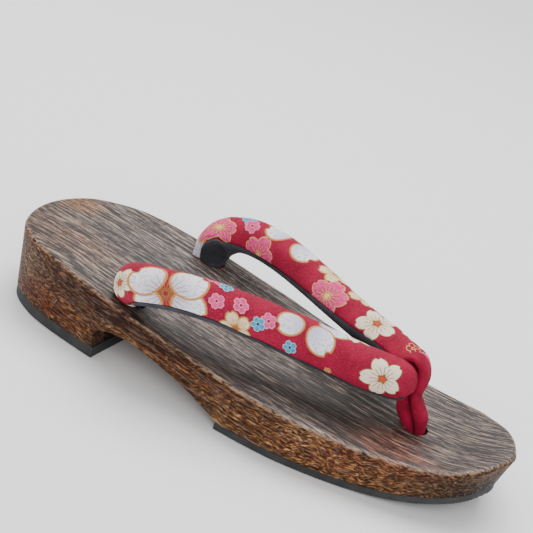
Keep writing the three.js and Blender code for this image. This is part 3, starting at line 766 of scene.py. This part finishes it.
# Dyes of the print: petal, blush, outline, heart, width of the outline in mm, strength of the
# stamens, the heart's share of the radius, and 0 where the petals have no body colour
DYES = {
    "pink": ("#ea5b95", "#c41358", "#ee8fae", "#960a3c", 0.35, 0.2, 0.17, 1),
    "rose": ("#e8558d", "#b81250", "#d9a56c", "#eec07c", 0.55, 0.8, 0.13, 1),
    "blue": ("#2fa6cf", "#0a6c9e", "#8fd0dc", "#0a3f6c", 0.35, 0.2, 0.2, 1),
    "cream": ("#f7e9d6", "#efd9b8", "#8a6a38", "#d8451c", 0.45, 0.75, 0.12, 1),
    "white": ("#fbf9fc", "#b3add0", "#c98a45", "#b0303a", 1.05, 0.0, 0.0, 1),
    "stamens": ("#fbf9fc", "#fbf9fc", "#8f7d36", "#98152f", 0.0, 0.85, 0.06, 0),
    "ivory": ("#f0d9b6", "#dcb987", "#b58443", "#b58a4a", 0.7, 0.5, 0.0, 1),
    "lilac": ("#f6f3fa", "#b0a9cf", "#c28f4a", "#b8923f", 1.0, 0.0, 0.0, 1),
    "gold": ("#dba763", "#dba763", "#dba763", "#dba763", 0.45, 0.0, 0.0, 0),
}

# Each blossom of an arm: millimetres along, millimetres round from the crest, radius, turn, petals,
# a petal's half width as a share of the radius, and its dye
OUTER_PRINT = [
    (3, 17, 7, 60, 5, 0.42, "white"),
    (16, 8, 6.8, 20, 5, 0.4, "cream"),
    (34.5, 11.2, 14, 144, 1, 0.45, "white"),
    (34.5, 11.2, 16.8, 18, 1, 0.41, "white"),
    (34, 11, 16, -147, 1, 0.47, "white"),
    (34.5, 11, 17.4, -45, 1, 0.42, "white"),
    (34.5, 11, 15, 10, 7, 0.45, "stamens"),
    (50.5, -4, 4.5, 70, 5, 0.4, "pink"),
    (53, 7.8, 3.3, 95, 5, 0.42, "pink"),
    (62, 5.2, 3.4, 60, 5, 0.42, "pink"),
    (54.5, -0.5, 3.1, 80, 5, 0.4, "blue"),
    (63, 15, 7.4, -54, 5, 0.4, "ivory"),
    (74.5, 6, 3.5, 100, 5, 0.42, "pink"),
    (71, 9, 3.2, 85, 5, 0.4, "blue"),
    (86.5, 12, 3.2, 90, 5, 0.4, "blue"),
    (91, -4.5, 18, -10, 1, 0.3, "lilac"),
    (90, -2, 14.6, 147, 1, 0.36, "lilac"),
    (90, -2.5, 15.6, 38, 1, 0.4, "lilac"),
    (104.5, 14, 1.8, 0, 5, 0.4, "gold"),
    (125.5, 6.2, 9.4, 24, 5, 0.38, "cream"),
    (17, -12, 7, 35, 5, 0.4, "cream"),
    (37, -13, 8.4, 10, 5, 0.42, "rose"),
    (52, -16, 3.2, 60, 5, 0.4, "blue"),
    (64, -10, 3.5, 25, 5, 0.42, "pink"),
    (71, -17, 7.2, 50, 5, 0.4, "ivory"),
    (109, -12, 8.4, 20, 5, 0.38, "cream"),
    (124, -15, 3.5, 70, 5, 0.42, "pink"),
]
INNER_PRINT = [
    (-4, -12, 16, 0, 1, 0.38, "lilac"),
    (14.5, -11, 7.8, 10, 5, 0.42, "rose"),
    (26, -2.5, 3.6, 50, 5, 0.4, "blue"),
    (29, -5, 4.1, 80, 5, 0.42, "pink"),
    (39, -16, 10, 80, 5, 0.42, "rose"),
    (49.5, 1, 15, 190, 1, 0.4, "white"),
    (49.5, 1, 16.6, -18, 1, 0.38, "white"),
    (49.5, 2, 15, 85, 1, 0.4, "white"),
    (76, 1, 8.4, -70, 5, 0.4, "ivory"),
    (93, 2, 8.4, -110, 5, 0.4, "ivory"),
    (84, -12, 9.4, 95, 5, 0.42, "rose"),
    (109.5, -8.5, 9.2, 0, 5, 0.38, "cream"),
    (120, 1, 4.5, 40, 5, 0.4, "cream"),
    (129.5, -6, 3.6, 20, 5, 0.42, "gold"),
    (137.4, -2.5, 4.8, 60, 5, 0.42, "pink"),
    (13, 11, 7.5, 40, 5, 0.4, "cream"),
    (30, 13, 3.6, 20, 5, 0.42, "pink"),
    (36, 10, 3.2, 65, 5, 0.4, "blue"),
    (62, 13, 8.6, 30, 5, 0.42, "rose"),
    (88, 15, 3.5, 50, 5, 0.42, "pink"),
    (107, 10, 7.2, 15, 5, 0.4, "ivory"),
    (124, 12, 3.3, 35, 5, 0.4, "blue"),
]


def printed_cotton(name, print_list, blossom):
    material, tree = start_material(name)
    cloth = add(tree, "ShaderNodeAttribute", {}, "Vector", attribute_name="cloth")
    fade = add(tree, NOISE, {"Vector": cloth, "Scale": 0.12, "Detail": 3.0})
    colour = add(tree, RAMP, {"Fac": fade}, stops=[(0.3, "#860428"), (0.7, "#a30b38")])
    for along, around, radius, turn, petals, width, dye in print_list:
        petal, blush, gilt, heart, outline, stamens, heart_share, cover = DYES[dye]
        colour = add(tree, "ShaderNodeGroup", {
            "Cloth": cloth, "Under": colour, "Middle": (along, around, 0), "Radius": radius,
            "Turn": math.radians(turn), "Petals": petals, "Width": width, "Outline": outline,
            "Stamens": stamens, "Heart Size": heart_share, "Cover": cover, "Petal": linear(petal),
            "Blush": linear(blush), "Gilt": linear(gilt), "Heart": linear(heart)}, node_tree=blossom)

    # Yarns of the weave are 0.25 mm apart in the real cloth, drawn at 0.6 mm so that they show
    yarn = 2 * math.pi / 0.6
    waves = []
    for axis in ("X", "Y"):
        swing = add(tree, MATH, {0: add(tree, SPLIT, {0: cloth}, axis), 1: yarn}, operation="MULTIPLY")
        waves.append(add(tree, MATH, {0: swing}, operation="SINE"))
    weave = add(tree, MATH, {0: waves[0], 1: waves[1]}, operation="MULTIPLY")
    slub = add(tree, VECTOR, {0: cloth, 1: (0.9, 2.2, 1.0)}, operation="MULTIPLY")
    slub = add(tree, NOISE, {"Vector": slub, "Scale": 1.0, "Detail": 3.0})
    height = add(tree, MATH, {0: weave, 1: 0.3, 2: slub}, operation="MULTIPLY_ADD")
    bump = add(tree, BUMP, {"Height": height, "Strength": 0.45, "Distance": 0.0004})

    # Here and there a paler yarn is a painted highlight where it catches the light, and a darker one is
    # painted shade where it lies low
    pale = add(tree, RANGE, {"Value": slub, "From Min": 0.54, "From Max": 0.74, "To Max": 0.2})
    colour = add(tree, MIX, {FACTOR: pale, UNDER: colour, OVER: linear("#e0708a")}, 2, data_type="RGBA")
    dark = add(tree, RANGE, {"Value": slub, "From Min": 0.47, "From Max": 0.3, "To Max": 0.5})
    colour = add(tree, MIX, {FACTOR: dark, UNDER: colour, OVER: linear("#5a0620")}, 2, data_type="RGBA")
    close_material(tree, {"Base Color": colour, "Roughness": 0.8, "Normal": bump,
                          "Specular IOR Level": 0.25,
                          "Sheen Weight": 0.05, "Sheen Roughness": 0.5, "Sheen Tint": linear("#ffb3bf")})
    return material


# The wooden block

# Shares of the wall's height and turns of the rounded rim where a line up the wall has its points
WALL_SHARES = [0, 0.2, 0.4, 0.6, 0.8, 0.93]
RIM_TURNS = [0, 0.3, 0.6, 0.9, 1.2, math.pi / 2]

# How far the cutters reach past the block: each kind ends at its own depth, so that no two ends meet
CUT_REACH = 80.0
ARCH_CUT_BELOW = -30.0
RECESS_CUT_BELOW = -1.5
HOLE_CUT_BELOW = -1.0


def wall_line(angle, side):
    """A line up the leaning wall and over the rounded rim."""
    rim_height = tread_at(rim_point(angle, side, 0).x) - RIM_RADIUS
    inset = foot_inset(angle)
    points = []
    for share in WALL_SHARES:
        flat = rim_point(angle, side, inset * (1 - share))
        foot = wood_foot_at(flat.x)
        points.append(Vector((flat.x, flat.y, foot + (rim_height - foot) * share)))
    for turn in RIM_TURNS:
        flat = rim_point(angle, side, RIM_RADIUS * (1 - math.cos(turn)))
        points.append(Vector((flat.x, flat.y, tread_at(flat.x) - RIM_RADIUS * (1 - math.sin(turn)))))
    return points


def block_ring(angle, tread_lines=28, floor_lines=5):
    """A ring round the block: up one wall, over the dished tread, down the other wall and back below."""
    outer, inner = wall_line(angle, -1), wall_line(angle, 1)
    ring = list(outer)
    for k in range(1, tread_lines):
        share = k / tread_lines
        point = outer[-1].lerp(inner[-1], share)
        point.z = tread_at(point.x) - DISH_DEPTH * math.sin(math.pi * share) * math.sin(angle)
        ring.append(point)
    ring += inner[::-1]
    for k in range(1, floor_lines):
        point = inner[0].lerp(outer[0], k / floor_lines)
        point.z = wood_foot_at(point.x)
        ring.append(point)
    return ring


def arch_cutter(steps=40):
    """The gap under the arch, right through the block from side to side."""
    profile = [(HEEL_BLOCK_LENGTH, ARCH_CUT_BELOW), (HEEL_BLOCK_LENGTH, 0)]
    profile.append((HEEL_BLOCK_LENGTH - ARCH_LEAN, ARCH_HEIGHT * ARCH_ROOF[0][1]))
    for i in range(1, steps + 1):
        x = HEEL_BLOCK_LENGTH + ARCH_LENGTH * i / steps
        profile.append((x, arch_roof_at(x)))
    profile.append((BALL_START, ARCH_CUT_BELOW))
    return cutter_of([[(x, y, z) for x, z in profile] for y in (-CUT_REACH, CUT_REACH)])


def make_block(material):
    """The block as it is carved, then its arch, strap holes and knots' recesses cut out."""
    stations = 150
    rings = [block_ring(math.pi * i / stations) for i in range(stations + 1)]
    block = piece_of("geta_block", rings, material, 40)
    front_top = wood_foot_at(FRONT_HOLE_ALONG) + RECESS_DEPTH
    rear_top = arch_roof_at(REAR_HOLE_ALONG) + REAR_RECESS_DEPTH
    cutters = [arch_cutter()]
    cutters.append(upright_bar(FRONT_HOLE_RADIUS, FRONT_HOLE_ALONG, 0, HOLE_CUT_BELOW, CUT_REACH))
    cutters.append(upright_bar(RECESS_RADIUS, FRONT_HOLE_ALONG, 0, RECESS_CUT_BELOW, front_top))
    for y in (-REAR_HOLE_SPREAD, REAR_HOLE_SPREAD):
        cutters.append(upright_bar(REAR_HOLE_RADIUS, REAR_HOLE_ALONG, y, HOLE_CUT_BELOW, CUT_REACH))
        cutters.append(upright_bar(REAR_RECESS_RADIUS, REAR_HOLE_ALONG, y, RECESS_CUT_BELOW, rear_top))
    cut_away(block, cutters)
    finish_piece(block, material, 35)
    mark_rim(block.data)
    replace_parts(block, "wood_base")
    return block


def mark_rim(mesh):
    """Marks each point with its way in from the rim and its drop below the tread, in millimetres."""
    marks = 1200
    rim = kdtree.KDTree(2 * (marks + 1))
    for i in range(marks + 1):
        for side in (-1, 1):
            flat = rim_point(math.pi * i / marks, side, 0)
            rim.insert((flat.x, flat.y, 0), 2 * i + (side > 0))
    rim.balance()
    layer = mesh.attributes.new("rim", "FLOAT_VECTOR", "POINT")
    for vertex, mark in zip(mesh.vertices, layer.data):
        x, y, z = vertex.co / MM + Vector((HALF_LENGTH, 0, 0))
        inset = rim.find((x, y, 0))[2]
        mark.vector = (inset, tread_at(x) - z, 0.0)


# Rubber treads

# A tread stops this far short of the outline's tip, where it would have no width
TREAD_TIP = 0.05


def angle_at(x):
    return math.acos(max(-1.0, min(1.0, 1 - 2 * x / LENGTH)))


def make_tread(name, node, start, end, material):
    """One rubber tread: its edge follows the wood, its underside is ribbed across."""
    columns = 9
    step = RIB / 4
    stations = [start + step * i for i in range(math.ceil((end - start) / step))] + [end]
    rings = []
    for x in stations:
        angle = angle_at(x)
        outer, inner = [rim_point(angle, side, foot_inset(angle) + SEAM) for side in (-1, 1)]
        line = [outer.lerp(inner, k / (columns - 1)) for k in range(columns)]
        low = sole_at(outer.x) + RIB_DEPTH * (0.5 - 0.5 * math.cos(2 * math.pi * (x - start) / RIB))
        high = wood_foot_at(outer.x) - SEAM
        ring = [(flat.x, flat.y, low) for flat in line]
        ring += [(flat.x, flat.y, high) for flat in line[::-1]]
        rings.append(ring)
    tread = piece_of(name, rings, material, 50)
    if node == "forefoot_rubber":
        cut_away(tread, [upright_bar(RECESS_RADIUS, FRONT_HOLE_ALONG, 0, HOLE_CUT_BELOW, BALL_HEIGHT)])
        finish_piece(tread, material, 50)
    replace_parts(tread, node)
    return tread


# The strap

def arm_stations(side, steps=150):
    """Place, directions and sizes of the padded section along an arm, from its foot to the nose."""
    rows = []
    for i, (place_and_size, lift) in enumerate(zip(ARM, FEET[side] + FOOT_TO_NOSE)):
        rows.append((i, *place_and_size, *lift))
    places = []
    for _, along, out, _, _, rise, _, _ in rows:
        x = REAR_HOLE_ALONG + along * (FRONT_HOLE_ALONG - REAR_HOLE_ALONG)
        places.append(Vector((x, side * out * REAR_HOLE_SPREAD, tread_at(x) + rise * STRAP_RISE)))
    outward = Vector((0, side, 0))
    stations = []
    for i in range(steps + 1):
        share = i / steps
        at = share * (len(ARM) - 1)
        place, tangent = smooth_path(places, share)
        out = (outward - tangent * outward.dot(tangent)).normalized()
        up = tangent.cross(out) * side
        width, thickness, _, roll, belly = [read_table(rows, at, column) for column in range(3, 8)]
        roll = math.radians(roll)
        across = out * math.cos(roll) - up * math.sin(roll)
        normal = up * math.cos(roll) + out * math.sin(roll)
        corners = FOOT_CORNERS + (1 - FOOT_CORNERS) * min(1.0, at / len(FEET[side]))
        stations.append((place, across, normal, STRAP_HALF_WIDTH * width, STRAP_THICKNESS * thickness,
                         STRAP_BELLY * belly, corners))
    return stations


def crease_at(along, around):
    """Depth of the cloth's creases at a place of an arm."""
    depth = 0.0
    for middle, crest, turn, half_length, half_width, most in CREASES:
        c, s = math.cos(math.radians(turn)), math.sin(math.radians(turn))
        u = (along - middle) * c + (around - crest) * s
        v = (around - crest) * c - (along - middle) * s
        depth += most * math.exp(-(u / half_length) ** 2 - (v / half_width) ** 2)
    return depth


def neck_rings(side, across, normal, turns, count=4):
    """The neck, which goes down through the rear hole to the cord under the arch, from its end up."""
    end = arch_roof_at(REAR_HOLE_ALONG) + REAR_RECESS_DEPTH - SEAM - CORD_KNOT_HEIGHT
    top = tread_at(REAR_HOLE_ALONG) - NECK_TOP_SUNK
    rings = []
    for i in range(count):
        z = end + (top - end) * i / (count - 1)
        middle = Vector((REAR_HOLE_ALONG, side * REAR_HOLE_SPREAD, z))
        ring = []
        for turn in turns:
            reach = NECK_RADIUS if math.sin(turn) > 0 else NECK_FRONT
            spot = middle + across * (NECK_RADIUS * math.cos(turn)) + normal * (reach * math.sin(turn))
            spot.z = z
            ring.append(spot)
        rings.append(ring)
    return rings


def padded_ring(station, turns):
    """The padded section: round over the crest, flatter and squarer on the belly."""
    place, across, normal, width, depth, belly, corners = station
    ring = []
    for turn in turns:
        out, up = math.cos(turn), math.sin(turn)
        if up < 0:
            out, up = math.copysign(abs(out) ** corners, out), -(-up) ** corners
        ring.append(place + across * (width * out) + normal * ((depth if up > 0 else belly) * up))
    return ring


def make_arm(name, side, material):
    """One arm with its neck, uneven and creased as padded cloth is, and its map for the print."""
    stations = arm_stations(side)
    # Every ring starts and ends under the middle of the belly, where the lining hides the join
    sides = 48
    turns = turns_round(sides, -math.pi / 2)
    rings = neck_rings(side, stations[0][1], stations[0][2], turns)
    # The neck is all plain cloth, just before the start of the print
    cloth_map = [(-2.0, 0.0, 0.0)] * (len(rings) * sides)

    along = PRINT_START[side]
    last_place = stations[0][0]
    for station in stations:
        place, width = station[0], station[3]
        along += (place - last_place).length
        last_place = place
        ring = padded_ring(station, turns)
        arc = [0.0]
        for k in range(1, sides):
            arc.append(arc[-1] + (ring[k] - ring[k - 1]).length)
        crest = arc[sides // 2]
        for k in range(sides):
            # Soft unevenness of the padding under the cloth, 12 mm long, 9 mm wide and 0.35 mm high
            around = crest - arc[k]
            lump = noise.noise(Vector((along / 12, around / 9, side * 7.0))) * 0.35 - crease_at(along, around)
            outward = (ring[k] - place).normalized()
            ring[k] = ring[k] + outward * lump * min(1.0, width / STRAP_HALF_WIDTH)
            # The foot spreads where it meets the tread
            ring[k].z = max(ring[k].z, tread_at(ring[k].x) + FOOT_GAP)
            cloth_map.append((along, around, 0.0))
        rings.append(ring)

    arm = body_of(name, rings)
    layer = arm.data.attributes.new("cloth", "FLOAT_VECTOR", "POINT")
    for spot, value in zip(layer.data, cloth_map):
        spot.vector = value
    finish_piece(arm, material, 60)
    return arm


def make_lining(side, material):
    """The velvet band under an arm, a soft strip that shows along the strap's edges."""
    stations = arm_stations(side)
    shares = [-1 + 2 * k / 12 for k in range(13)]
    rings = []

    # The band goes down into the hole with the neck
    hole = Vector((REAR_HOLE_ALONG, side * REAR_HOLE_SPREAD, tread_at(REAR_HOLE_ALONG)))
    across, normal = stations[0][1:3]
    for sunk in LINING_SUNK:
        high, low = [], []
        for share in shares:
            for line, drop in ((high, LINING_NECK_GAP), (low, LINING_THICKNESS)):
                spot = hole + across * (share * LINING_NECK_HALF_WIDTH) - normal * (NECK_FRONT + drop)
                spot.z = hole.z - sunk
                line.append(spot)
        rings.append(high + low[::-1])

    # It follows the belly, beside a strip of bare cloth at the foot, and stops where the nose is narrow
    for place, across, normal, width, _, belly, corners in stations:
        if width < LINING_LEAST_HALF_WIDTH:
            continue
        bare = FOOT_BARE[side] * max(0.0, 1 - (place.z - tread_at(place.x)) / FOOT_BARE_HEIGHT)
        half = width - LINING_MARGIN - abs(bare) / 2
        high, low = [], []
        for share in shares:
            out = share * half + bare / 2
            around = max(0.0, 1 - abs(out / width) ** (2 / corners)) ** (corners / 2)
            for line, drop in ((high, 0), (low, LINING_THICKNESS * (1 - 0.25 * share ** 4))):
                spot = place + across * out - normal * (belly * around + LINING_SEAM + drop)
                spot.z = max(spot.z, tread_at(spot.x) + FOOT_GAP)
                line.append(spot)
        rings.append(high + low[::-1])
    name = "velvet_lining_outer" if side < 0 else "velvet_lining_inner"
    return piece_of(name, rings, material, 60)


# The thong

def make_thong(material):
    """The cotton band that holds the nose: two tails from the hole, crossed over the V."""
    floor = tread_at(FRONT_HOLE_ALONG)
    rows = [(i, *row) for i, row in enumerate(THONG_LOOP)]
    places = [Vector((FRONT_HOLE_ALONG - back * STRAP_THICKNESS, 0, floor + up * STRAP_RISE))
              for back, up, _, _ in THONG_LOOP]
    steps = 120
    rings = []
    for i in range(steps + 1):
        share = i / steps
        at = share * (len(THONG_LOOP) - 1)
        place, tangent = smooth_path(places, share)
        normal = Vector((-tangent.z, 0, tangent.x))
        half_width, half_thickness = read_table(rows, at, 3), read_table(rows, at, 4)
        ring = []
        for k, turn in enumerate(turns_round(24)):
            across = math.copysign(abs(math.cos(turn)) ** 0.8, math.cos(turn)) * half_width
            up = math.copysign(abs(math.sin(turn)) ** 0.8, math.sin(turn)) * half_thickness
            crinkle = 0.18 * noise.noise(Vector((i / 5, k / 4, 3.3)))
            ring.append(place + normal * (up + crinkle) + Vector((0, across, 0)))
        rings.append(ring)
    thong = piece_of("toe_thong", rings, material, 70)
    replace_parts(thong, "toe_loop")
    return thong


def make_thong_knot(material):
    """The thong's knot in the recess under the front hole: a flat ball of three strands twisted together."""
    middle = wood_foot_at(FRONT_HOLE_ALONG) + RECESS_DEPTH - SEAM - THONG_KNOT_HEIGHT / 2
    levels = 24
    rings = []
    for i in range(levels + 1):
        tilt = math.pi * (0.02 + 0.96 * i / levels)
        ring = []
        for turn in turns_round(48):
            strand = 1 - 0.12 * (0.5 + 0.5 * math.cos(3 * turn + 4 * tilt)) * math.sin(tilt)
            reach = THONG_KNOT_RADIUS * math.sin(tilt) * strand
            ring.append((FRONT_HOLE_ALONG + reach * math.cos(turn), reach * math.sin(turn),
                         middle - THONG_KNOT_HEIGHT / 2 * math.cos(tilt) * strand))
        rings.append(ring)
    knot = piece_of("thong_knot", rings, material, 70)
    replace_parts(knot, "toe_loop")
    return knot


def make_cord_knot(name, side, material):
    """Two turns of hemp cord round the neck of an arm, under the roof of the arch."""
    top = arch_roof_at(REAR_HOLE_ALONG) + REAR_RECESS_DEPTH - SEAM - CORD_RADIUS - CORD_KNOT_PLAY
    fall = CORD_KNOT_HEIGHT - 2 * (CORD_RADIUS + CORD_KNOT_PLAY)
    hole = Vector((REAR_HOLE_ALONG, side * REAR_HOLE_SPREAD, 0))
    steps = 96
    rings = []
    for i in range(steps + 1):
        share = i / steps
        swing = 2 * math.pi * CORD_TURNS * share
        out = Vector((math.cos(swing), math.sin(swing), 0))
        centre = hole + out * CORD_KNOT_RADIUS + Vector((0, 0, top - fall * share))
        ring = []
        for turn in turns_round(10):
            # The lay of the cord: three strands that wind round each other
            strand = CORD_RADIUS * (1 + 0.12 * math.cos(3 * turn + 60 * share * CORD_TURNS))
            ring.append(centre + out * (strand * math.cos(turn)) + Vector((0, 0, strand * math.sin(turn))))
        rings.append(ring)
    knot = piece_of(name, rings, material, 60)
    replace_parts(knot, "rear_knot_outer" if side < 0 else "rear_knot_inner")
    return knot


# Camera, floor and light

def set_camera():
    """The photograph's view: from the front right and above, the camera tilted on its axis."""
    aim = Vector((-37.117, 69.782, 20.0)) * MM
    azimuth, elevation, roll = math.radians(24.21), math.radians(25.58), math.radians(15.66)
    distance = 0.7
    level_share = math.cos(elevation)
    back = Vector((math.sin(azimuth) * level_share, -math.cos(azimuth) * level_share, math.sin(elevation)))
    level = (-back).cross(Vector((0, 0, 1))).normalized()
    upright = level.cross(-back)
    right = level * math.cos(roll) + upright * math.sin(roll)
    up = upright * math.cos(roll) - level * math.sin(roll)
    data = bpy.data.cameras.new("photo_camera")
    data.sensor_width = 36.0
    data.lens = 99.36
    camera = bpy.data.objects.new("photo_camera", data)
    turned = Matrix((right, up, back)).transposed().to_4x4()
    camera.matrix_world = Matrix.Translation(aim + back * distance) @ turned
    bpy.context.collection.objects.link(camera)
    bpy.context.scene.camera = camera


def set_stage():
    """A plain pale floor, a white world and three soft boxes."""
    reach, level = 6, -0.0002
    corners = [(-reach, -reach, level), (reach, -reach, level), (reach, reach, level), (-reach, reach, level)]
    floor = mesh_object("studio_floor", corners, [(0, 1, 2, 3)])
    material, tree = start_material("white_paper")
    close_material(tree, {"Base Color": linear("#fbfbfb"), "Roughness": 0.9})
    floor.data.materials.append(material)

    world = bpy.data.worlds.new("studio")
    bpy.context.scene.world = world
    world.use_nodes = True
    world.node_tree.nodes["Background"].inputs["Color"].default_value = linear("#ffffff")
    world.node_tree.nodes["Background"].inputs["Strength"].default_value = 0.65

    # Name, place and size in metres, watts: a wide soft box over the far side, a weak one in front and
    # a small one by the heel
    lamps = [
        ("top_softbox", (-0.1, 0.35, 1.1), 0.9, 16.0),
        ("front_softbox", (0.5, -0.9, 0.7), 0.8, 7.0),
        ("heel_softbox", (-0.9, 0.1, 0.5), 0.5, 1.5),
    ]
    for name, place, size, watts in lamps:
        data = bpy.data.lights.new(name, "AREA")
        data.shape = "SQUARE"
        data.size = size
        data.energy = watts
        lamp = bpy.data.objects.new(name, data)
        lamp.location = place
        lamp.rotation_euler = (-Vector(place)).to_track_quat("-Z", "Y").to_euler()
        bpy.context.collection.objects.link(lamp)


set_camera()
set_stage()

wood = scorched_wood()
rubber = moulded_rubber()
velvet = black_velvet()
crepe = crimson_crepe()
hemp = hemp_cord()
blossom = blossom_group()

make_block(wood)
make_tread("heel_tread", "heel_rubber", TREAD_TIP, HEEL_BLOCK_LENGTH, rubber)
make_tread("forefoot_tread", "forefoot_rubber", BALL_START, LENGTH - TREAD_TIP, rubber)
outer_arm = make_arm("strap_outer", -1, printed_cotton("blossom_cotton_outer", OUTER_PRINT, blossom))
inner_arm = make_arm("strap_inner", 1, printed_cotton("blossom_cotton_inner", INNER_PRINT, blossom))
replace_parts(outer_arm, "strap_upper")
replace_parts(inner_arm, "strap_upper")
for side in (-1, 1):
    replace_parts(make_lining(side, velvet), "strap_lining")
make_thong(crepe)
make_thong_knot(crepe)
make_cord_knot("cord_knot_outer", -1, hemp)
make_cord_knot("cord_knot_inner", 1, hemp)
